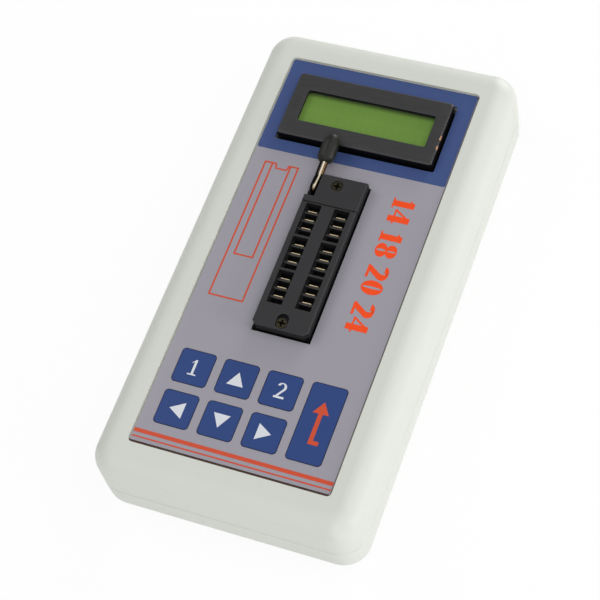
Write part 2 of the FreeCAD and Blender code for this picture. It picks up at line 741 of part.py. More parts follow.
# Socket cover: a sliding plate with sunk windows, a through slot over each contact, a yoke round the crank
# and a slotted hole for its screw.
cover = Piece("zif_cover")
cover_length = "cover_far - zif_near"
cover.pad([rectangle("0", "(cover_far + zif_near) / 2", "zif_width - 2 * cover_inset", cover_length)],
          "cover_under", "zif_top")
near_end = value("zif_near")
cover.bevel("cover_chamfer", lambda box: box.ZLength > 1 and abs(box.YMin - near_end) < 1e-4)
cover.bevel("cover_edge", level("zif_top"))
cover.pad([rectangle("yoke_x", "(cover_far - yoke_end + yoke_far) / 2", "yoke_width",
                     "yoke_far - cover_far + yoke_end")], "cover_under", "yoke_top")
cover.cut([rectangle("yoke_x", "pivot_y + crank_lean", "yoke_width", "yoke_window")],
          "cover_under", "yoke_ceiling")
window_run = "(window_pins - 1) * pin_pitch"
window_shift = f"slot_middle - ({window_run}) / 2"
window = cover.cut(contact_rows("slot_width", f"{window_run} + slot_length", window_shift),
                   "zif_top - slot_sink", "zif_top")
cover.repeat(window, "(row_pins / window_pins)", "window_pins * pin_pitch")
slot = cover.cut(contact_rows("contact_width + 2 * slot_start", "slot_length", "slot_middle"),
                 "cover_under", "zif_top - slot_sink")
cover.repeat(slot, "row_pins", "pin_pitch")
screw_slot_y = f"{ZIF_SCREWS[1][1]} + cover_travel / 2"
screw_slot = "zif_screw_head + 2 * zif_screw_play"
cover.cut([rectangle("0", screw_slot_y, screw_slot, f"{screw_slot} + cover_travel", "zif_screw_head / 2")],
          "zif_screw_seat - slide_gap", "zif_top")
shank_slot = "zif_screw_diameter + 2 * zif_screw_play"
cover.cut([rectangle("0", screw_slot_y, shank_slot, f"{shank_slot} + cover_travel",
                     "zif_screw_diameter / 2")], "cover_under", "zif_top")

# Socket screws: cross-slotted heads seen from above.
zif_screws = Piece("zif_screws")
zif_screws.pad(circles(ZIF_SCREWS, "zif_screw_head"),
               "zif_screw_seat", "zif_screw_seat + zif_screw_head_height")
zif_screws.pad(circles(ZIF_SCREWS, "zif_screw_diameter"), "zif_screw_seat - zif_screw_depth",
               "zif_screw_seat + zif_screw_head_height / 2")
cross = "cross_share * zif_screw_head"
for width, length in ((cross, "cross_width"), ("cross_width", cross)):
    zif_screws.cut([rectangle(x, y, width, length) for x, y in ZIF_SCREWS],
                   "zif_screw_seat + zif_screw_head_height / 2", "zif_screw_seat + zif_screw_head_height")


def polyline(sketch, points):
    """An open chain of straight lines, each corner held by its two distances from the origin."""
    places = [FreeCAD.Vector(value(x), value(y), 0) for x, y in points]
    sketch.addGeometry([Part.LineSegment(start, end) for start, end in zip(places, places[1:])], False)
    corners = [(line, 1) for line in range(len(places) - 1)] + [(len(places) - 2, 2)]
    rules = [("Coincident", line, 2, line + 1, 1) for line in range(len(places) - 2)]
    dimensions = [(x, "DistanceX", -1, 1, *corner) for (x, y), corner in zip(points, corners)]
    dimensions += [(y, "DistanceY", -1, 1, *corner) for (x, y), corner in zip(points, corners)]
    constrain(sketch, rules, dimensions)


# Socket lever: wire bent from a cranked shaft into an arm that lies flat and then rises to the knob.
lever = Piece("zif_lever")
route = lever.sketch("lever_x", "YZ_Plane")
polyline(route, [("pivot_y", "lever_flat_z"), ("lever_bend_y", "lever_flat_z"),
                 ("lever_bend_y + lever_reach * cos(lever_tilt)",
                  "lever_flat_z + lever_reach * sin(lever_tilt)")])
section = lever.outline([circle("lever_x", "lever_flat_z", "lever_diameter")], "-(pivot_y)", "XZ_Plane")
DOC.recompute()
arm = lever.add("PartDesign::AdditivePipe")
arm.Profile = section
arm.Spine = route
arm.Transition = "Round corner"
DOC.recompute()
lever.pad([circle("pivot_y", "lever_flat_z", "lever_diameter")], "lever_x - lever_diameter / 2",
          "lever_x + lever_diameter / 2", plane="YZ_Plane")
lever.pad([circle("pivot_y", "pivot_z", "lever_diameter")], "lever_x - lever_diameter / 2",
          "lever_x + lever_diameter / 2", plane="YZ_Plane")
lever.pad([circle("pivot_y", "pivot_z", "shaft_diameter")], "lever_x",
          "yoke_x - yoke_width / 2 - crank_play", plane="YZ_Plane")
lever.pad([circle("pivot_y + crank_lean", "pivot_z + crank_lean", "crank_diameter")], "yoke_x - crank_half",
          "yoke_x + crank_half", plane="YZ_Plane")
lever.pad([circle("pivot_y", "pivot_z", "shaft_diameter")], "yoke_x + yoke_width / 2 + crank_play",
          "zif_width / 2 - lever_side / 2 - crank_play", plane="YZ_Plane")

# Lever knob: a moulded barrel pushed onto the end of the wire.
knob = Piece("zif_lever_knob")
knob.pad([circle("0", "0", "knob_diameter")], "0", "knob_length")
knob.round("knob_round", level("knob_length"))
knob.cut([circle("0", "0", "lever_diameter + 2 * knob_play")], "0", "knob_grip + knob_play")
knob.body.Placement = FreeCAD.Placement(FreeCAD.Vector(), FreeCAD.Rotation(FreeCAD.Vector(-1, 0, 0), 90))
knob.body.setExpression("Placement.Base.x", formula("lever_x"))
knob.body.setExpression("Placement.Base.y", formula("knob_y"))
knob.body.setExpression("Placement.Base.z", formula("knob_z"))
knob.body.setExpression("Placement.Rotation.Angle", formula("90 - lever_tilt"))

# Battery cells, lying side by side across the case with their nubs at opposite ends.
cells = Piece("battery_cells")
for side in (-1, 1):
    y = f"bay_y + {side} * cell_y"
    nub_end = f"{side} * (cell_length / 2 - cell_nub)"
    flat_end = f"{-side} * cell_length / 2"
    low, high = sorted((nub_end, flat_end), key=value)
    cells.pad([circle(y, "cell_z", "cell_diameter")], low, high, plane="YZ_Plane")
    low, high = sorted((nub_end, f"{side} * cell_length / 2"), key=value)
    cells.pad([circle(y, "cell_z", "cell_nub_diameter")], low, high, plane="YZ_Plane")

# Battery contacts: dimpled leaves on the bay's end walls. One leaf joins the two cells, and the other two
# have tabs that rise through the bay's roof and run to the main board.
leaves = Piece("battery_contacts")
end = "bay_width / 2"
dimple_end = "cell_length / 2 + cell_play / 2"
leaves.pad([rectangle("bay_y", "cell_z", "2 * cell_diameter", "plate_height")],
           f"-({end})", f"plate_thickness - {end}", plane="YZ_Plane")
leaves.pad([rectangle(f"bay_y + {side} * cell_y", "cell_z", "cell_diameter - 2 * cell_play", "plate_height")
            for side in (-1, 1)], f"{end} - plate_thickness", end, plane="YZ_Plane")
dimples = [circle(f"bay_y + {side} * cell_y", "cell_z", "dimple_diameter") for side in (-1, 1)]
leaves.pad(dimples, f"-({end})", f"-({dimple_end})", plane="YZ_Plane")
leaves.pad(dimples, dimple_end, end, plane="YZ_Plane")
for side, inset in ((-1, "0"), (1, "tab_width + 2 * tab_gap")):
    y = f"bay_y + {side} * cell_y"
    tab_x = f"{end} - ({inset}) - tab_width / 2"
    bridge = f"{inset} + tab_width"
    leaves.pad([rectangle(f"{end} - plate_thickness / 2", y, "plate_thickness", "tab_width")],
               "cell_z", "tab_top")
    leaves.pad([rectangle(f"{end} - ({bridge}) / 2", y, bridge, "tab_width")], "board_top", "tab_top")
    leaves.pad([rectangle(tab_x, f"({y} + board_far - tab_width) / 2", "tab_width",
                          f"{y} - board_far + tab_width")], "board_top", "tab_top")

# Battery door: a flush plate with thumb grooves on its outside.
door = Piece("battery_door")
door.pad([rectangle("0", "bay_y", "door_width", "door_length")], "door_sink", "base_floor")
grip_y = "bay_y - door_length / 2"
door.cut([rectangle("0", f"{grip_y} + {groove} * 2 * grip_groove", "grip_width", "grip_groove")
          for groove in (2, 3, 4)], "door_sink", "door_sink + grip_depth")

# Every body is sound before any file is written.
DOC.recompute()
for item in DOC.Objects:
    if "Invalid" in item.State or "Error" in item.State:
        raise RuntimeError(f"{item.Name} did not build")
for label, body in NODES.items():
    if body.Shape.isNull() or not body.Shape.isValid():
        raise RuntimeError(f"{label} has no sound shape")
os.makedirs("parts", exist_ok=True)
for label, body in NODES.items():
    body.Shape.exportStep(f"parts/{label}.step")
    print(label, len(body.Shape.Solids), round(body.Shape.Volume, 2))
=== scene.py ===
import math
import bpy
import numpy as np
from mathutils import Matrix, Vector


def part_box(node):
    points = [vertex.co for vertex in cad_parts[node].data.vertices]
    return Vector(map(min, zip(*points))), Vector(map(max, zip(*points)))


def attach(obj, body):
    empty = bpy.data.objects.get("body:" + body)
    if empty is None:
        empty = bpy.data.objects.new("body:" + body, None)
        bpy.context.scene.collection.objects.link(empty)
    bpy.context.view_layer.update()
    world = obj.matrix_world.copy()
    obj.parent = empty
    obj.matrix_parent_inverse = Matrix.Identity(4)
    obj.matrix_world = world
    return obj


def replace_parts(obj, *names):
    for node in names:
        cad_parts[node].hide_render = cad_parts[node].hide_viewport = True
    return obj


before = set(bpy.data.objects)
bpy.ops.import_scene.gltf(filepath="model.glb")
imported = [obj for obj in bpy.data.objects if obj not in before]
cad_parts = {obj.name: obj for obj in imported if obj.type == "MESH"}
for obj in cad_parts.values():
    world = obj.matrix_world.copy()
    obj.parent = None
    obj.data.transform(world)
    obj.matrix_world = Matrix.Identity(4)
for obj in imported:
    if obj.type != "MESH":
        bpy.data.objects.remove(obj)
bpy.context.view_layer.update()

# Case: two shells and a battery door, moulded in pale grey ABS with a fine spark-eroded grain outside.
# The shells meet at a shallow groove half way up, and the door snaps into the lower one.
MM = 0.001


def screen(red, green, blue):
    """Linear colour of an 8-bit screen colour by the standard curve: a power above a short straight foot."""
    share = np.array([red, green, blue]) / 255
    foot, power = share / 12.92, ((share + 0.055) / 1.055) ** 2.4
    return (*np.where(share > 0.04045, power, foot), 1.0)


def node(tree, kind, inputs=(), **settings):
    """A shader node with its settings. An input given as a socket is linked, and any other value is set."""
    made = tree.nodes.new("ShaderNode" + kind)
    for name, value in settings.items():
        setattr(made, name, value)
    for name, value in dict(inputs).items():
        if isinstance(value, bpy.types.NodeSocket):
            tree.links.new(value, made.inputs[name])
        else:
            made.inputs[name].default_value = value
    return made


def calc(tree, operation, *values):
    """The result of a Math node on sockets and numbers, in order."""
    return node(tree, "Math", dict(enumerate(values)), operation=operation).outputs[0]


def finish(name, **fixed):
    """A material, its tree, its one shader with values that are the same all over, and the piece's own
    coordinates."""
    material = bpy.data.materials.new(name)
    material.use_nodes = True
    tree = material.node_tree
    shader = tree.nodes["Principled BSDF"]
    for socket, value in fixed.items():
        shader.inputs[socket.replace("_", " ")].default_value = value
    return material, tree, shader, node(tree, "TexCoord").outputs["Object"]


def drifting(tree, place, colour, size, share):
    """A colour whose lightness drifts up and down by a share over patches of a size."""
    cloud = node(tree, "TexNoise", {"Vector": place, "Scale": 1 / size, "Detail": 3.0})
    value = calc(tree, "MULTIPLY_ADD", cloud.outputs[0], 2 * share, 1 - share)
    return node(tree, "HueSaturation", {"Color": colour, "Value": value}).outputs[0]


def grained(tree, shader, place, grain, depth, roughness, spread, edge):
    """Relief of pits of a grain's size over softened edges, with roughness that follows the pits."""
    pits = node(tree, "TexNoise", {"Vector": place, "Scale": 1 / grain, "Detail": 4.0, "Roughness": 0.6})
    soft = node(tree, "Bevel", {"Radius": edge}, samples=4)
    relief = node(tree, "Bump", {"Height": pits.outputs[0], "Distance": depth, "Normal": soft.outputs[0]})
    tree.links.new(relief.outputs[0], shader.inputs["Normal"])
    value = calc(tree, "MULTIPLY_ADD", pits.outputs[0], 2 * spread, roughness - spread)
    tree.links.new(value, shader.inputs["Roughness"])
    return pits.outputs[0]


def moulded(name, colour, grain=0.25 * MM, depth=0.02 * MM, roughness=0.5, drift=0.03, edge=0.12 * MM,
            gloss=0.5):
    """Moulded plastic: a drifting colour under a fine grain."""
    material, tree, shader, place = finish(name, Specular_IOR_Level=gloss)
    grained(tree, shader, place, grain, depth, roughness, spread=0.08, edge=edge)
    tint = drifting(tree, place, colour, size=18 * MM, share=drift)
    tree.links.new(tint, shader.inputs["Base Color"])
    return material


def paint(material, *nodes):
    """Gives a finish to every slot of some pieces of the frame."""
    for name in nodes:
        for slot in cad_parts[name].material_slots:
            slot.material = material


case_plastic = moulded("case_plastic", screen(206, 209, 201), grain=0.3 * MM, depth=0.018 * MM,
                       roughness=0.46, drift=0.012, edge=0.2 * MM)
paint(case_plastic, "upper_shell", "lower_shell", "battery_door")

# Case screws: four cross-slotted screws of blackened steel, driven up from the sunk holes in the underside.
# The smaller screws that hold the boards inside are zinc plated.


def turned(name, colour, roughness=0.3, grain=0.12 * MM, stretch=(1, 1, 1), drift=0.08):
    """Bare or plated metal: a drifting tint, with fine marks that may be drawn out along one direction."""
    material, tree, shader, place = finish(name, Metallic=1.0)
    drawn = node(tree, "Mapping", {"Vector": place, "Scale": stretch}).outputs[0]
    grained(tree, shader, drawn, grain, depth=0.006 * MM, roughness=roughness, spread=0.1, edge=0.06 * MM)
    tint = drifting(tree, place, colour, size=3 * MM, share=drift)
    tree.links.new(tint, shader.inputs["Base Color"])
    return material


paint(turned("dark_steel", screen(70, 70, 72), roughness=0.42), "case_screws")
bright_steel = turned("bright_steel", screen(205, 205, 202), roughness=0.28)
paint(bright_steel, "board_screws", "lcd_screws")

# Battery bay: two slim cells lie side by side across the case, in plain shrink sleeves with a bare nub end.
# Nickel-plated spring leaves on the bay's end walls touch them.


def parted(tree, vector):
    """The three components of a vector."""
    return node(tree, "SeparateXYZ", {"Vector": vector}).outputs


def blended(tree, share, first, second):
    """A colour that goes from the first to the second as a share goes from 0 to 1."""
    return node(tree, "Mix", {0: share, 6: first, 7: second}, data_type="RGBA").outputs[2]


SLEEVE_HALF = 15 * MM
sleeve, tree, shader, place = finish("cell_sleeve", Metallic=0.35, Coat_Weight=0.4)
at_end = calc(tree, "GREATER_THAN", calc(tree, "ABSOLUTE", parted(tree, place)[0]), SLEEVE_HALF)
tint = blended(tree, at_end, screen(38, 92, 74), screen(186, 188, 186))
tree.links.new(tint, shader.inputs["Base Color"])
grained(tree, shader, place, grain=0.4 * MM, depth=0.01 * MM, roughness=0.32, spread=0.06, edge=0.2 * MM)
paint(sleeve, "battery_cells")
paint(bright_steel, "battery_contacts")

# Boards: glass-fibre laminate under green solder mask, with the copper tracks showing through as paler lines.
# The main board carries the socket and the switches, and the display's own board hangs above it.
TRACK_PITCH = 2.54 * MM
mask, tree, shader, place = finish("solder_mask", Coat_Weight=0.3, Coat_Roughness=0.2)
tracks = node(tree, "TexBrick", {"Vector": place, "Scale": 1 / TRACK_PITCH, "Mortar Size": 0.06,
                                 "Color1": screen(18, 78, 46), "Color2": screen(16, 72, 42),
                                 "Mortar": screen(48, 118, 66)}, offset=0.37, squash=1.6)
tree.links.new(tracks.outputs["Color"], shader.inputs["Base Color"])
grained(tree, shader, place, grain=0.5 * MM, depth=0.008 * MM, roughness=0.3, spread=0.05, edge=0.05 * MM)
paint(mask, "main_board", "lcd_board")

# Soldered parts: black moulded packages, a drawn steel crystal can, aluminium capacitors and plated pins.
# The seven push switches have black housings under pressed steel plates, and black plungers.
black_plastic = moulded("black_plastic", screen(34, 34, 36), grain=0.15 * MM, depth=0.012 * MM,
                        roughness=0.55)
paint(black_plastic, "microcontroller", "driver_chips", "regulator", "boost_coil", "header_strip",
      "switch_housings", *[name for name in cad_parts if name.startswith("plunger_")])
paint(bright_steel, "crystal", "switch_plates")
paint(turned("can_aluminium", screen(212, 214, 214), roughness=0.35, stretch=(1, 1, 0.1)), "capacitors")
gold_contact = turned("gold_contact", screen(196, 172, 110), roughness=0.3)
paint(gold_contact, "header_pins")

# Display: a green reflective glass on two rubber strips, held by a pressed steel bezel over its board.
# The bezel has rolled edges and satin black paint, worn to the copper-coloured plating on its right edge;
# the paint is painted paler on its upper faces as a painted sheen and near black on its walls as painted
# shade.
# A black foam gasket between it and the glass gives the dark line of shade just inside the window.


def rounded(width, length, corner, arc=8):
    """Rounded rectangle about the origin: each quarter of a circle is pushed out to its own corner.
    Columns of sizes give a stack of outlines."""
    width, length, corner = (np.atleast_1d(size).astype(float)[:, None] for size in (width, length, corner))
    quarter = np.repeat(np.arange(4), arc)
    turn = (quarter + np.tile(np.linspace(0, 1, arc), 4)) * np.pi / 2
    right = np.where((quarter == 0) | (quarter == 3), 1, -1)
    far = np.where(quarter < 2, 1, -1)
    x = right * (width / 2 - corner) + corner * np.cos(turn)
    y = far * (length / 2 - corner) + corner * np.sin(turn)
    return np.stack([x, y], -1)


def raised(outlines, heights, middle=(0, 0)):
    """Puts each flat outline of a stack at its own height, about a middle."""
    heights = np.broadcast_to(np.asarray(heights, float)[:, None], outlines.shape[:2])
    return np.concatenate([outlines + np.asarray(middle), heights[..., None]], -1)


def skin(name, material, bodies=(), rings=(), sharp=math.radians(32)):
    """One piece of closed bodies, each over its own stack of like loops: quads join each loop to the next.
    A body's first and last loop are its end faces, and a ring's join each other. Smooth but for edges that
    turn by more than the sharp angle."""
    stacks = [*bodies, *rings]
    faces, start = [], 0
    for number, loops in enumerate(stacks):
        rows, count = loops.shape[:2]
        index = start + np.arange(rows * count).reshape(rows, count)
        closed = number >= len(bodies)
        lower = index if closed else index[:-1]
        upper = np.roll(index, -1, 0) if closed else index[1:]
        quads = np.stack([lower, np.roll(lower, -1, 1), np.roll(upper, -1, 1), upper], -1)
        ends = [] if closed else [index[0, ::-1].tolist(), index[-1].tolist()]
        faces += quads.reshape(-1, 4).tolist() + ends
        start += rows * count
    mesh = bpy.data.meshes.new(name)
    mesh.from_pydata(np.concatenate([loops.reshape(-1, 3) for loops in stacks]), [], faces)
    mesh.shade_smooth()
    mesh.set_sharp_from_angle(angle=sharp)
    mesh.materials.append(material)
    piece = bpy.data.objects.new(name, mesh)
    bpy.context.scene.collection.objects.link(piece)
    return piece


def ramp(tree, value, start, end, least=0.0, most=1.0, kind="LINEAR"):
    """Goes from the least to the most as a value goes from a start to an end, evenly or with soft ends."""
    limits = {"Value": value, 1: start, 2: end, 3: least, 4: most}
    return node(tree, "MapRange", limits, interpolation_type=kind).outputs[0]


def upper_faces(tree, place, level, steep=0.55, flat=0.97):
    """1 on faces above a level whose normals rise more than the flat limit, falling to 0 at the steep one."""
    facing = parted(tree, node(tree, "NewGeometry").outputs["Normal"])[2]
    upward = ramp(tree, facing, steep, flat, kind="SMOOTHSTEP")
    return calc(tree, "MULTIPLY", upward, calc(tree, "GREATER_THAN", parted(tree, place)[2], float(level)))


def glossed(tree, shader, lit, least=0.08, gain=0.32):
    """Gives lit faces more gloss than the rest."""
    tree.links.new(calc(tree, "MULTIPLY_ADD", lit, gain, least), shader.inputs["Specular IOR Level"])


def between(tree, value, low, high):
    """1 where a value lies between two limits, and 0 elsewhere."""
    return calc(tree, "MULTIPLY", calc(tree, "GREATER_THAN", value, float(low)),
                calc(tree, "LESS_THAN", value, float(high)))


low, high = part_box("lcd_bezel")
bezel_size = np.array(high - low)
bezel_middle = np.array(low + high)[:2] / 2
SHEET = 0.5 * MM
ROLL = 0.5 * MM
LIP = 0.15 * MM
BEZEL_CORNER = 0.9 * MM
WINDOW = np.array([35.4, 9.8]) * MM
window_middle = np.array([0, bezel_middle[1]])
WINDOW_CORNER = 0.6 * MM
STREAK = (0.12, 1, 1)
WORN_EDGE = np.array([0.42, 0.02]) * MM
WORN_DEPTH = 0.8 * MM
WORN_SPOTS = np.array([[41.5, 42.8], [38.4, 39.9]]) * MM
SPOT_WEAR, EDGE_WEAR = 0.47, 0.64
bezel_paint, tree, shader, place = finish("bezel_paint")
speckle = grained(tree, shader, place, grain=0.35 * MM, depth=0.012 * MM, roughness=0.42, spread=0.07,
                  edge=0.05 * MM)
streaks = node(tree, "Mapping", {"Vector": place, "Scale": STREAK}).outputs[0]
paint_tint = drifting(tree, streaks, screen(53, 53, 54), size=0.7 * MM, share=0.26)
# Painted sheen and shade: faces that look up get the paint's grey, and the rolled edges and walls near black.
lit = upper_faces(tree, place, high.z - ROLL, steep=0.35, flat=0.75)
painted_sheen_and_shade = blended(tree, lit, screen(7, 7, 7), paint_tint)
glossed(tree, shader, lit)
axes = parted(tree, place)
rim = between(tree, axes[0], *(high.x - WORN_EDGE))
spots = calc(tree, "MAXIMUM", *[between(tree, axes[1], *spot) for spot in WORN_SPOTS])
rubbed = calc(tree, "MAXIMUM", calc(tree, "MULTIPLY", spots, calc(tree, "GREATER_THAN", speckle, SPOT_WEAR)),
              calc(tree, "GREATER_THAN", speckle, EDGE_WEAR))
bare = calc(tree, "MULTIPLY", calc(tree, "MULTIPLY", rim, rubbed),
            calc(tree, "GREATER_THAN", axes[2], high.z - WORN_DEPTH))
tree.links.new(blended(tree, bare, painted_sheen_and_shade, screen(226, 176, 140)), shader.inputs["Base Color"])
tree.links.new(bare, shader.inputs["Metallic"])

CORNER_SHRINK = 0.6
quarter = np.linspace(0, np.pi / 2, 6)
inset = np.concatenate([[0], ROLL * (1 - np.cos(quarter))])
outset = np.concatenate([LIP * (1 - np.sin(quarter)), [0]])
inner_size = bezel_size[:2] - 2 * SHEET
bezel = skin("display_bezel", bezel_paint, rings=[np.concatenate([
    raised(rounded(bezel_size[0] - 2 * inset, bezel_size[1] - 2 * inset,
                   BEZEL_CORNER - CORNER_SHRINK * inset),
           np.concatenate([[low.z], high.z - ROLL * (1 - np.sin(quarter))]), bezel_middle),
    raised(rounded(WINDOW[0] + 2 * outset, WINDOW[1] + 2 * outset, WINDOW_CORNER + outset),
           np.concatenate([high.z - LIP * (1 - np.cos(quarter)), [high.z - SHEET]]), window_middle),
    raised(rounded(*inner_size, [BEZEL_CORNER - SHEET] * 2), [high.z - SHEET, low.z], bezel_middle),
])])
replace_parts(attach(bezel, "case"), "lcd_bezel")

# A black foam gasket of the kind such modules have, set just inside the window's edge so that its black is
# the shade in the cavity there.
GASKET = np.array([0.25, 1.4]) * MM
glass_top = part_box("lcd_glass")[1].z
inner, outer = (rounded(*(WINDOW + 2 * reach), [WINDOW_CORNER + reach] * 2) for reach in GASKET)
pad = np.concatenate([raised(outer, [glass_top, high.z - SHEET], window_middle),
                      raised(inner, [high.z - SHEET, glass_top], window_middle)])
foam = moulded("gasket_foam", screen(16, 16, 17), grain=0.2 * MM, depth=0.04 * MM, roughness=0.8)
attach(skin("display_gasket", foam, rings=[pad]), "case")

CELL_PITCH = np.array([2.15, 4.1]) * MM
CELL_COUNT = (16, 2)
CELL_HALF = 0.41
CELL_SHADE = 0.05
SHADOW_START, SHADOW_END, SHADOW = 46.8 * MM, 48.4 * MM, 0.65
glass, tree, shader, place = finish("display_glass", Specular_IOR_Level=0.4)
axes = parted(tree, place)
inside = 1.0
for axis, pitch, middle, count in zip((0, 1), CELL_PITCH, window_middle, CELL_COUNT):
    shifted = calc(tree, "DIVIDE", calc(tree, "SUBTRACT", axes[axis], float(middle)), float(pitch))
    from_middle = calc(tree, "ABSOLUTE", calc(tree, "SUBTRACT", calc(tree, "FRACT", shifted), 0.5))
    held = calc(tree, "MULTIPLY", calc(tree, "LESS_THAN", from_middle, CELL_HALF),
                calc(tree, "LESS_THAN", calc(tree, "ABSOLUTE", shifted), count / 2))
    inside = calc(tree, "MULTIPLY", held, inside)
green = drifting(tree, place, screen(108, 142, 65), size=14 * MM, share=0.05)
cells = blended(tree, calc(tree, "MULTIPLY", inside, CELL_SHADE), green, screen(60, 92, 44))
far_edge = ramp(tree, axes[1], SHADOW_START, SHADOW_END, most=SHADOW, kind="SMOOTHSTEP")
tree.links.new(blended(tree, far_edge, cells, screen(36, 40, 34)), shader.inputs["Base Color"])
grained(tree, shader, place, grain=0.12 * MM, depth=0.002 * MM, roughness=0.3, spread=0.04, edge=0.05 * MM)
paint(glass, "lcd_glass")
paint(moulded("soft_rubber", screen(196, 196, 188), roughness=0.7), "lcd_contact_strips")

# Socket: a tall base of black glass-filled plastic with a sliding cover of the same, and with a rib across
# each window between two slots. Upper faces near the top are painted paler as a painted sheen, and the walls
# dark as painted shade, darkest below the cover's underside. Two plated screws with cross slots hold the
# socket to the board.
low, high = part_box("zif_cover")
socket_top = high.z
LIT_DEPTH = 0.5 * MM
socket_plastic, tree, shader, place = finish("socket_plastic")
grained(tree, shader, place, grain=0.16 * MM, depth=0.014 * MM, roughness=0.48, spread=0.08, edge=0.12 * MM)
tint = drifting(tree, place, screen(41, 41, 43), size=7 * MM, share=0.1)
# Painted sheen and shade: upper faces near the top get the grey, walls near black, darkest below the cover's
# underside.
lit = upper_faces(tree, place, socket_top - LIT_DEPTH, steep=0.3, flat=0.6)
above = calc(tree, "GREATER_THAN", parted(tree, place)[2], low.z)
painted_wall_shade = blended(tree, above, screen(7, 7, 7), screen(33, 33, 34))
tree.links.new(blended(tree, lit, painted_wall_shade, tint), shader.inputs["Base Color"])
glossed(tree, shader, lit)
paint(socket_plastic, "zif_base", "zif_cover")

screw_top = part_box("zif_screws")[1].z
CROSS_DEPTH = 0.12 * MM
screw_metal, tree, shader, place = finish("brass_screw", Metallic=1.0)
grained(tree, shader, place, grain=0.1 * MM, depth=0.006 * MM, roughness=0.36, spread=0.1, edge=0.08 * MM)
tint = drifting(tree, place, screen(92, 86, 70), size=0.5 * MM, share=0.75)
# Painted shade: below the head's face, in the cross slots, the brass is painted dark.
face = upper_faces(tree, place, screw_top - CROSS_DEPTH)
tree.links.new(blended(tree, face, screen(26, 24, 20), tint), shader.inputs["Base Color"])
paint(screw_metal, "zif_screws")

# Socket contacts: twenty-four spring leaves of gilt strip, one in each slot, with a rolled upper edge and a
# narrow tail soldered through the main board. Below the rolled edge the gilt is painted dark as the slot's
# shade.


def bent(path, width, depth, across, sides=20, square=2.0):
    """Loops of a bar carried along a flat path: at each point an oval of that point's width and depth stands
    square to the path, its width along a fixed direction. The higher the power, the squarer the oval."""
    ahead = np.gradient(path, axis=0)
    ahead /= np.linalg.norm(ahead, axis=1, keepdims=True)
    turn = np.linspace(0, 2 * np.pi, sides, endpoint=False)
    oval = np.stack([np.cos(turn), np.sin(turn)])
    oval = np.sign(oval) * np.abs(oval) ** (2 / square)
    width, depth = (np.broadcast_to(size, len(path))[:, None, None] / 2 for size in (width, depth))
    side = np.cross(ahead, across)[:, None]
    return path[:, None] + width * oval[0][:, None] * np.asarray(across) + depth * oval[1][:, None] * side


low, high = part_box("zif_contacts")
board_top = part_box("main_board")[1].z
LEAF = np.array([2.6, 0.26]) * MM
TAIL = 0.5 * MM
SHOULDER = 0.2 * MM
CURL, CURL_REACH = 0.8 * MM, 0.14 * MM
TIP_TAPER, TIP_THINNING = 0.15 * MM, 0.3
ROWS, PLACES = 2, 12
CAD_BLADE = 0.35 * MM
SLOT_SHADE_FULL, SLOT_SHADE_CLEAR = 0.09 * MM, 0.03 * MM
height = np.concatenate([[low.z, board_top - SHOULDER, board_top + SHOULDER],
                         high.z - CURL * np.linspace(1, 0, 9)])
curl = np.clip((height - high.z + CURL) / CURL, 0, 1)
at_tip = curl ** 8
leaf_path = np.stack([0 * height, -CURL_REACH * curl ** 2, height], -1)
leaf_width = np.where(height < board_top, TAIL, LEAF[0] - TIP_TAPER * at_tip)
leaf = bent(leaf_path, leaf_width, LEAF[1] * (1 - TIP_THINNING * at_tip), (1, 0, 0), sides=16, square=6)
rows_x = np.linspace(low.x + LEAF[0] / 2, high.x - LEAF[0] / 2, ROWS)
places_y = np.linspace(low.y + CAD_BLADE / 2, high.y - CAD_BLADE / 2, PLACES)
gilt, tree, shader, place = finish("contact_gilt", Metallic=0.45)
grained(tree, shader, place, grain=0.1 * MM, depth=0.005 * MM, roughness=0.26, spread=0.08, edge=0.04 * MM)
# Painted shade: the leaf is dark below its top and bright gilt only along its top edge.
above_slot_shade = ramp(tree, parted(tree, place)[2], high.z - SLOT_SHADE_FULL, high.z - SLOT_SHADE_CLEAR)
tint = drifting(tree, place, screen(212, 194, 154), size=1.5 * MM, share=0.2)
tree.links.new(blended(tree, above_slot_shade, screen(70, 56, 32), tint), shader.inputs["Base Color"])
leaves = skin("contact_leaves", gilt, [leaf + (x, y, 0) for x in rows_x for y in places_y])
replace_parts(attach(leaves, "case"), "zif_contacts")

# Window ribs: bars that part the slots of one window, each just on the near side of a contact, moulded in one
# with the cover; their plastic is painted paler than the cover's, as painted light down in the windows.
RIB = np.array([4.14, 0.64]) * MM
RIB_EDGE = 0.08 * MM
RIB_FOOT, RIB_TOP = socket_top - 1.32 * MM, socket_top - 0.98 * MM
NEAR_OF_CONTACT = 0.62 * MM
WINDOW_PLACES = 4
taper = 2 * RIB_EDGE * np.array([0, 0, 1])
bar = rounded(RIB[0] - taper, RIB[1] - taper, RIB_EDGE / 2, arc=3)
ribs_y = [y - NEAR_OF_CONTACT for number, y in enumerate(places_y[::-1], 1) if number % WINDOW_PLACES]
# Painted light: a paler copy of the cover's dark plastic.
rib_plastic_painted_paler = moulded("rib_plastic_painted_paler", screen(50, 48, 46), grain=0.16 * MM, depth=0.014 * MM, roughness=0.5,
                      drift=0.1)
ribs = skin("cover_ribs", rib_plastic_painted_paler, [raised(bar, [RIB_FOOT, RIB_TOP - RIB_EDGE, RIB_TOP], (x, y))
                                        for x in rows_x for y in ribs_y])
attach(ribs, "socket_cover")

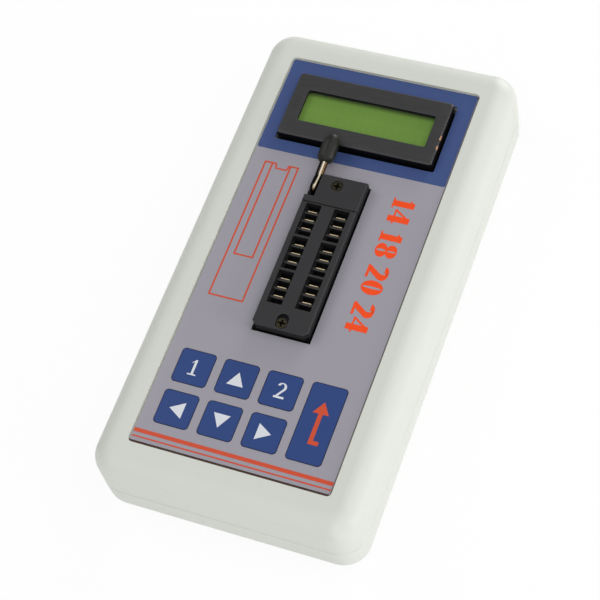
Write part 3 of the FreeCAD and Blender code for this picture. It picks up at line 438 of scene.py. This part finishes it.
# Lever: one nickel-plated wire, bent up from the cranked shaft inside the socket's head into an arm that lies
# in the head's notch and then rises to a pushed-on knob of black plastic. The wire's colour carries a painted
# highlight along its upper right, with painted dark reflection to its left and a brown-dark tone to its
# right.
low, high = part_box("zif_lever")
knob_low, knob_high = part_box("zif_lever_knob")
WIRE = 2.2 * MM
TILT = math.radians(15)
LEAN = 0.06
KNOB = np.array([4.5, 7.2]) * MM
GRIP = 4.4 * MM
ELBOW = 1.4 * MM
SWEEP = 4.0 * MM
FOOT_DROP = np.linspace(0.9, 0.1, 5) * MM
FOOT_ROUND = np.linspace(0.94, 0.1, 5)
FOOT_ASIDE = 0.2 * MM
SHAFT, CRANK = 1.3 * MM, 0.7 * MM
CRANK_BENDS = np.array([1.65, 2.45, 5.55, 6.35]) * MM
SLANT = math.sqrt(0.5)
DRAWN_OUT = (1, 0.08, 1)
HIGHLIGHT_LEFT = -0.10 * MM, 0.15 * MM
HIGHLIGHT_RIGHT = 0.7 * MM, 0.45 * MM
HIGHLIGHT_FOOT = -0.4 * MM, 0.8 * MM
lever_x = (knob_low.x + knob_high.x) / 2
axis = np.array([0, math.cos(TILT), math.sin(TILT)])
knob_start = np.array([lever_x, knob_low.y + KNOB[0] / 2 * axis[2], knob_low.z + KNOB[0] / 2 * axis[1]])
wire_end = knob_start + GRIP * axis
pivot = np.array([lever_x, low.y + WIRE / 2, low.z + WIRE / 2])
flat_z = pivot[2] + ELBOW
bend_y = wire_end[1] - (wire_end[2] - flat_z) / math.tan(TILT)
rise = np.linspace(0, TILT, 7)
turn = np.linspace(np.pi, np.pi / 2, 9)
arm_y = np.concatenate([0 * FOOT_DROP + pivot[1], pivot[1] + ELBOW * (1 + np.cos(turn)),
                        bend_y + SWEEP * (np.sin(rise) - math.tan(TILT / 2)), [wire_end[1]]])
arm_z = np.concatenate([pivot[2] - FOOT_DROP, pivot[2] + ELBOW * np.sin(turn),
                        flat_z + SWEEP * (1 - np.cos(rise)), [wire_end[2]]])
foot_x = lever_x - FOOT_ASIDE
arm_path = np.stack([foot_x + LEAN * (arm_y - pivot[1]), arm_y, arm_z], -1)
arm_width = np.full(len(arm_path), WIRE)
arm_width[:len(FOOT_ROUND)] *= np.sqrt(1 - FOOT_ROUND ** 2)
shaft_x = np.linspace(lever_x, high.x, 60)
jog = np.interp(shaft_x, CRANK_BENDS, [0, 1, 1, 0]) * CRANK * SLANT
shaft_path = np.stack([shaft_x, pivot[1] + jog, pivot[2] + jog], -1)
nickel, tree, shader, place = finish("nickel_wire", Metallic=1.0)
drawn = node(tree, "Mapping", {"Vector": place, "Scale": DRAWN_OUT}).outputs[0]
grained(tree, shader, drawn, grain=0.12 * MM, depth=0.006 * MM, roughness=0.2, spread=0.08, edge=0.06 * MM)
axes = parted(tree, place)
along = calc(tree, "SUBTRACT", axes[1], float(pivot[1]))
aside = calc(tree, "SUBTRACT", axes[0], calc(tree, "MULTIPLY_ADD", along, LEAN, float(foot_x)))
# Painted reflection: a bright streak between two ramps across the wire, near black to its left and brown-dark
# to its right and at the foot.
from_left = ramp(tree, aside, *HIGHLIGHT_LEFT)
from_right = ramp(tree, aside, *HIGHLIGHT_RIGHT)
from_foot = ramp(tree, along, *HIGHLIGHT_FOOT)
painted_highlight = calc(tree, "MULTIPLY", calc(tree, "MULTIPLY", from_left, from_right), from_foot)
tint = drifting(tree, drawn, screen(206, 196, 176), size=0.5 * MM, share=0.12)
painted_dark_reflection = blended(tree, from_left, screen(18, 17, 16), screen(96, 74, 46))
tree.links.new(blended(tree, painted_highlight, painted_dark_reflection, tint), shader.inputs["Base Color"])
wire = skin("lever_wire", nickel, [bent(arm_path, arm_width, arm_width, (1, 0, 0), sides=32),
                                   bent(shaft_path, SHAFT, SHAFT, (0, -SLANT, SLANT))])
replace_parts(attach(wire, "lever"), "zif_lever")

POLE = 0.06
KNOB_LONGER, KNOB_BACK = 1.0 * MM, 1.1 * MM
FOOT_POWER, TIP_POWER, ROUND_POWER = 5.5, 3.2, 2.1
KNOB_TAPER = 0.05
knob_plastic = moulded("knob_plastic", screen(27, 28, 23), grain=0.3 * MM, roughness=0.46, drift=0.06,
                       gloss=0.3)
swell = -np.cos(np.linspace(POLE, np.pi - POLE, 30))
fullness = 1 - np.abs(swell) ** np.where(swell < 0, FOOT_POWER, TIP_POWER)
girth = fullness ** (1 / ROUND_POWER) * (1 - KNOB_TAPER * swell)
knob_path = knob_start + np.outer((swell + 1) / 2 * (KNOB[1] + KNOB_LONGER) - KNOB_BACK, axis)
knob_path[:, 0] = foot_x + LEAN * (knob_path[:, 1] - pivot[1])
knob_width = girth * KNOB[0]
knob = skin("lever_knob", knob_plastic, [bent(knob_path, knob_width, knob_width, (1, 0, 0), sides=40)])
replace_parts(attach(knob, "lever"), "zif_lever_knob")

# Film front: one satin polycarbonate sheet, stuck into the case's recess and printed grey on its back.
# A bead in the gap round it is pale at the far and left sides, painted darker at the right as shade in the
# gap, and brown along the near edge, where adhesive squeezed out over the film is darkened further as painted
# shade.
low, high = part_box("front_film")
film_top = high.z
film_size = np.array(high - low)[:2]
film_middle = np.array(low + high)[:2] / 2
CUT_EDGE = 0.5
film, tree, shader, place = finish("film_print", Specular_IOR_Level=0.35)
facing = parted(tree, node(tree, "NewGeometry").outputs["Normal"])[2]
edge = calc(tree, "LESS_THAN", facing, CUT_EDGE)
grey = drifting(tree, place, screen(152, 149, 158), size=22 * MM, share=0.015)
tree.links.new(blended(tree, edge, grey, screen(40, 46, 84)), shader.inputs["Base Color"])
grained(tree, shader, place, grain=0.18 * MM, depth=0.006 * MM, roughness=0.42, spread=0.05, edge=0.03 * MM)
paint(film, "front_film")

FILM_CORNER = 0.6 * MM
LAP = 0.32 * MM
BROWN_REACH = 0.35 * MM
BEAD_SPREAD = np.array([0.37, 0.37, 0.02, 0.02, 0.02, 0.02]) * MM
BEAD_LAP = LAP * np.array([0, 0, 1, 1, 0, 0])
BEAD_HEIGHT = np.array([-0.5, -0.1, 0.03, 0.01, 0.01]) * MM
adhesive_and_painted_shade, tree, shader, place = finish("adhesive_and_painted_shade", Coat_Weight=0.3)
grained(tree, shader, place, grain=0.4 * MM, depth=0.03 * MM, roughness=0.5, spread=0.1, edge=0.05 * MM)
axes = parted(tree, place)
at_right = calc(tree, "GREATER_THAN", axes[0], high.x)
at_near = calc(tree, "LESS_THAN", axes[1], low.y + BROWN_REACH)
# Painted shade: the bead is darker at the right and dark brown at the near edge, where the gap lies in shade.
sides = blended(tree, at_right, screen(172, 173, 165), screen(98, 90, 84))
bead_colour_and_painted_shade = blended(tree, at_near, sides, screen(66, 36, 18))
tree.links.new(drifting(tree, place, bead_colour_and_painted_shade, size=3 * MM, share=0.15), shader.inputs["Base Color"])
bead = raised(rounded(film_size[0] + 2 * BEAD_SPREAD, film_size[1] + 2 * BEAD_SPREAD - BEAD_LAP,
                      FILM_CORNER + BEAD_SPREAD),
              np.append(film_top + BEAD_HEIGHT, low.z), film_middle + np.outer(BEAD_LAP / 2, (0, 1))[:, None])
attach(skin("film_bead", adhesive_and_painted_shade, rings=[bead]), "case")

# Keys: seven blue panels of the film, each over a push switch, with its symbol in white or red ink.
# The two letter places carry plain numerals, and the tall key a turn-back arrow.
# Each panel's border is painted darker blue as shade at its embossed edge.
KEYS = ("one", "up", "two", "left", "down", "right", "enter")
KEY_RIM = 0.4 * MM
RIM_START, RIM_END = 0.995, 0.9
key_film, tree, shader, place = finish("key_film", Specular_IOR_Level=0.35)
blue = drifting(tree, place, screen(42, 66, 122), size=9 * MM, share=0.03)
soft = node(tree, "Bevel", {"Radius": KEY_RIM}, samples=8).outputs[0]
# Painted shade: darker blue where the softened normal tips over at the panel's edge.
rim = ramp(tree, parted(tree, soft)[2], RIM_START, RIM_END)
tree.links.new(blended(tree, rim, blue, screen(26, 38, 76)), shader.inputs["Base Color"])
grained(tree, shader, place, grain=0.18 * MM, depth=0.006 * MM, roughness=0.42, spread=0.05, edge=0.05 * MM)
paint(key_film, *["key_" + key for key in KEYS])
INK = 0.02 * MM


def printing_ink(name, colour):
    """Screen-printed ink: a nearly even colour with the mesh's faint tooth."""
    material, tree, shader, place = finish(name)
    grained(tree, shader, place, grain=0.14 * MM, depth=0.004 * MM, roughness=0.45, spread=0.05,
            edge=0.02 * MM)
    tint = drifting(tree, place, colour, size=2 * MM, share=0.03)
    tree.links.new(tint, shader.inputs["Base Color"])
    return material


def printed(name, outline, material, top, middle=(0, 0)):
    """A flat patch of ink inside an outline, sunk by its own thickness and standing proud by as much."""
    return skin(name, material, [raised(np.stack([outline, outline]), [top - INK, top + INK], middle)])


def oval(middle, reach, start=0, end=360):
    """Points of an oval about a middle, from one turn to another in degrees."""
    turn = np.radians(np.linspace(start, end, 41))
    return np.asarray(middle) + np.stack([np.cos(turn), np.sin(turn)], -1) * reach


DIGIT_GAP, WORD_GAP = 0.07, 0.42
LAYER, FIRST_LINE_LAYER = 0.1, 0.2
DIGIT_RINGS = {"0": [[(0.5, 0.5), (0.5, 0.5)]],
               "8": [[(0.5, 0.255), (0.5, 0.255)], [(0.5, 0.755), (0.45, 0.245)]]}
DIGIT_LINES = {"1": [(1, [(0.4, -0.04), (0.4, 1.04)]), (0.5, [(-0.1, 0.8), (0.3, 0.96)]),
                     (1.3, [(-0.25, 0), (1, 0)])],
               "2": [(1, np.append(oval((0.5, 0.74), (0.5, 0.26), 165, -30), [(0.02, 0.02)], 0)),
                     (2, [(-0.25, 0.03), (1.25, 0.03)])],
               "4": [(1, [(0.8, -0.04), (0.8, 1.04)]), (1.3, [(-0.4, 0.26), (1.4, 0.26)]),
                     (0.35, [(-0.32, 0.26), (0.72, 1)])]}


def numerals(name, text, height, width, pen, turn, middle, top, material):
    """Numerals drawn with an oval pen of two half sizes, turned and set about a middle as patches of ink. The
    pen reaches out from a line by the line's normal times its half sizes squared, over the length of the
    normal times its half sizes. Rings are ovals larger and smaller by the pen. Parts that cross differ a
    little in height."""
    pen = np.asarray(pen)
    room = np.array([width, 1]) - 2 * pen
    parts, start = [], 0.0
    for digit in text:
        corner = pen + (start, 0)
        for layer, (at, reach) in enumerate(DIGIT_RINGS.get(digit, ())):
            sides = [oval(corner + at * room, reach * room + grow)[:-1] for grow in (pen, -pen)]
            parts.append((LAYER * layer, True, np.stack(sides)))
        for layer, (share, line) in enumerate(DIGIT_LINES.get(digit, ())):
            path = corner + np.asarray(line) * room
            ahead = np.gradient(path, axis=0)
            normal = np.stack([ahead[:, 1], -ahead[:, 0]], -1)
            reach = share * normal * pen ** 2 / np.linalg.norm(normal * pen, axis=1, keepdims=True)
            sides = np.concatenate([path + reach, (path - reach)[::-1]])
            parts.append((FIRST_LINE_LAYER + LAYER * layer, False, sides[None]))
        corners = np.concatenate([sides.reshape(-1, 2) for *_, sides in parts])
        start = corners[:, 0].max() + (WORD_GAP if digit == " " else DIGIT_GAP)
    centre = (corners.min(0) + corners.max(0)) / 2
    axes = height * np.array([[math.cos(turn), math.sin(turn)], [-math.sin(turn), math.cos(turn)]])
    bodies, rings = [], []
    for layer, hollow, sides in parts:
        levels = np.array([-1, 1 + layer, 1 + layer, -1])[:2 * len(sides)] * INK + top
        (rings if hollow else bodies).append(raised(np.repeat((sides - centre) @ axes, 2, 0), levels, middle))
    return skin(name, material, bodies, rings)


white_ink = printing_ink("white_ink", screen(211, 215, 221))
red_ink = printing_ink("red_ink", screen(200, 72, 40))
ARROW = np.array([4.4, 3.7]) * MM
arrow = np.array([[-0.5, -0.5], [0.5, -0.5], [0, 0.5]]) * ARROW
ARROW_TURNS = {"up": [[1, 0], [0, 1]], "left": [[0, 1], [-1, 0]],
               "down": [[-1, 0], [0, -1]], "right": [[0, -1], [1, 0]]}
KEY_NUMERALS = {"one": "1", "two": "2"}
NUMERAL_HEIGHT, NUMERAL_WIDTH = 4.2 * MM, 0.58
NUMERAL_PEN = (0.075, 0.033)
turn_back = np.array([[-0.55, -5.6], [2.1, -5.6], [2.1, -4.5], [0.55, -4.5], [0.55, 2.6], [2.1, 2.6],
                      [0, 5.9], [-2.1, 2.6], [-0.55, 2.6]]) * MM
for key in KEYS:
    low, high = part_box("key_" + key)
    middle, top = np.array(low + high)[:2] / 2, high.z
    if key in KEY_NUMERALS:
        mark = numerals("mark_" + key, KEY_NUMERALS[key], NUMERAL_HEIGHT, NUMERAL_WIDTH, NUMERAL_PEN, 0,
                        middle, top, white_ink)
    elif key == "enter":
        mark = printed("mark_enter", turn_back, red_ink, top, middle)
    else:
        mark = printed("mark_" + key, arrow @ np.array(ARROW_TURNS[key]), white_ink, top, middle)
    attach(mark, key + "_key")

# Front print: a blue band round the display, two red stripes across the foot, outlines of a long and a short
# chip at the left and a column of pin counts at the right, all screen-printed.


def framed(name, outer, inner, material):
    """A frame of ink between two like loops, sunk by its own thickness and standing proud by as much."""
    lift = np.array([0, 0, INK])
    loops = np.concatenate([outer - lift, outer + lift, inner + lift, inner - lift])
    return skin(name, material, rings=[loops])


band_ink = printing_ink("band_ink", screen(56, 76, 126))
BAND_NEAR = 29.3 * MM
DISPLAY_GAP = 0.6 * MM
RIM = 0.05 * MM
film_far = film_middle[1] + film_size[1] / 2
band_size = np.array([film_size[0], film_far - BAND_NEAR]) - 2 * RIM
hole = raised(rounded(*(bezel_size[:2] + 2 * DISPLAY_GAP), FILM_CORNER), [film_top], bezel_middle)
outer = raised(rounded(*band_size, FILM_CORNER), [film_top], (0, (film_far + BAND_NEAR) / 2))
band = framed("print_band", outer, hole, band_ink)
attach(band, "case")
for name, near, far in (("print_stripe_wide", -56.5, -55.45), ("print_stripe_thin", -57.8, -57.4)):
    edges = rounded(film_size[0] - 2 * RIM, (far - near) * MM, RIM)[0]
    stripe = printed(name, edges, red_ink, film_top, (0, (near + far) / 2 * MM))
    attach(stripe, "case")


def stroked(path, width):
    """Both edges of a closed line of a width: each corner moves half the width out and in along its mitre."""
    ahead = np.roll(path, -1, 0) - path
    ahead /= np.linalg.norm(ahead, axis=1, keepdims=True)
    out = np.stack([ahead[:, 1], -ahead[:, 0]], -1)
    back = np.roll(out, 1, 0)
    mitre = (out + back) / (1 + (out * back).sum(1, keepdims=True))
    return path + mitre * width / 2, path - mitre * width / 2


LINE = 0.45 * MM
CHIP_FAR = 25.35
long_chip = np.array([[-22.0, -15.75], [-12.83, -15.75], [-12.83, CHIP_FAR], [-15.3, CHIP_FAR], [-15.7, 24.0],
                      [-18.6, 24.0], [-19.0, CHIP_FAR], [-22.0, CHIP_FAR]]) * MM
outer, inner = (raised(edge[None], [film_top]) for edge in stroked(long_chip, LINE))
outline = framed("print_chip_long", outer, inner, red_ink)
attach(outline, "case")
left, right, near, far = np.array([-20.2, -14.7, -3.3, CHIP_FAR]) * MM - (0, 0, 0, LINE / 2)
short_chip = np.array([[left, far], [left, near], [right, near], [right, far], [right - LINE, far],
                       [right - LINE, near + LINE], [left + LINE, near + LINE], [left + LINE, far]])
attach(printed("print_chip_short", short_chip, red_ink, film_top), "case")
COUNT_HEIGHT, COUNT_WIDTH = 5.7 * MM, 0.72
COUNT_PEN = (0.15, 0.03)
COUNT_MIDDLE = np.array([17.4, 3.4]) * MM
vivid_ink = printing_ink("vivid_ink", screen(237, 71, 5))
counts = numerals("print_pin_counts", "14 18 20 24", COUNT_HEIGHT, COUNT_WIDTH, COUNT_PEN, -math.pi / 2,
                  COUNT_MIDDLE, film_top, vivid_ink)
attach(counts, "case")

# Stage: a white floor that keeps the shadow, and a surround that is brightest overhead, with a dark card
# where the front would mirror it to the camera. One soft lamp stands high at the left and three low round the
# part.
scene = bpy.context.scene
scene.view_settings.view_transform = "Standard"


def seen(tree):
    """1 for a ray that shows the surround itself: from the camera, off a gloss or through glass."""
    path = node(tree, "LightPath").outputs
    return calc(tree, "MAXIMUM", path["Is Camera Ray"],
                calc(tree, "MAXIMUM", path["Is Glossy Ray"], path["Is Transmission Ray"]))


world = bpy.data.worlds.new("surround")
scene.world = world
world.use_nodes = True
tree = world.node_tree
WHITE = (1, 1, 1, 1)
HORIZON, ZENITH, CARD = 0.02, 1.32, 0.04
FADE_START, FADE_END = 0.2, 0.85
CARD_TOWARD = (-0.28, 0.42, 0.86)
CARD_START, CARD_END = 0.80, 0.95
toward = node(tree, "TexCoord").outputs["Generated"]
fade = ramp(tree, parted(tree, toward)[2], FADE_START, FADE_END, HORIZON, ZENITH, kind="SMOOTHSTEP")
across = node(tree, "VectorMath", {0: toward, 1: CARD_TOWARD}, operation="DOT_PRODUCT").outputs["Value"]
card = ramp(tree, across, CARD_START, CARD_END, kind="SMOOTHSTEP")
level = calc(tree, "ADD", calc(tree, "MULTIPLY", fade, calc(tree, "SUBTRACT", 1.0, card)),
             calc(tree, "MULTIPLY", card, CARD))
surround = node(tree, "Background", {"Color": WHITE, "Strength": level}).outputs[0]
tree.links.new(surround, tree.nodes["World Output"].inputs["Surface"])

FLOOR_GLOW = 0.9
FLOOR = 3.0
floor_white, tree, shader, _ = finish("floor_white", Roughness=0.9, Base_Color=(0.92, 0.92, 0.92, 1))
glow = node(tree, "Emission", {"Color": WHITE, "Strength": 1.0}).outputs[0]
part = calc(tree, "MULTIPLY", seen(tree), FLOOR_GLOW)
mixed = node(tree, "MixShader", {0: part, 1: shader.outputs[0], 2: glow}).outputs[0]
tree.links.new(mixed, tree.nodes["Material Output"].inputs["Surface"])
mesh = bpy.data.meshes.new("floor")
mesh.from_pydata(FLOOR * np.array([[-1, -1, 0], [1, -1, 0], [1, 1, 0], [-1, 1, 0]]), [], [[0, 1, 2, 3]])
mesh.materials.append(floor_white)
floor = bpy.data.objects.new("floor", mesh)
scene.collection.objects.link(floor)

LAMP_UP = (0, 1, 0.01)


def lamp(name, place, size, power):
    """A square soft lamp at a place, facing the origin and turned upright about the way it faces."""
    data = bpy.data.lights.new(name, "AREA")
    data.size = size
    data.energy = power
    back = np.array(place) / np.linalg.norm(place)
    right = np.cross(LAMP_UP, back)
    right /= np.linalg.norm(right)
    axes = np.column_stack([right, np.cross(back, right), back])
    light = bpy.data.objects.new(name, data)
    light.matrix_world = Matrix.Translation(place) @ Matrix(axes.tolist()).to_4x4()
    scene.collection.objects.link(light)


lamp("lamp_left", (-0.70, 0.15, 0.80), size=0.45, power=1.80)
lamp("lamp_right", (1.00, -0.05, 0.17), size=0.40, power=4.79)
lamp("lamp_front", (0.20, -0.98, 0.16), size=0.60, power=2.90)
lamp("lamp_back", (0.20, 1.00, 0.22), size=0.50, power=5.30)

EYE = (0.12824, -0.19396, 0.39891)
RIGHT = (0.92844, 0.34036, -0.14885)
UP = (-0.23054, 0.84210, 0.48756)
BACK = (0.29129, -0.41835, 0.86031)
view = bpy.data.cameras.new("camera")
view.lens = 105.1
view.sensor_width = 36
view.clip_start = 0.01
camera = bpy.data.objects.new("camera", view)
camera.matrix_world = Matrix.Translation(EYE) @ Matrix((RIGHT, UP, BACK)).transposed().to_4x4()
scene.collection.objects.link(camera)
scene.camera = camera
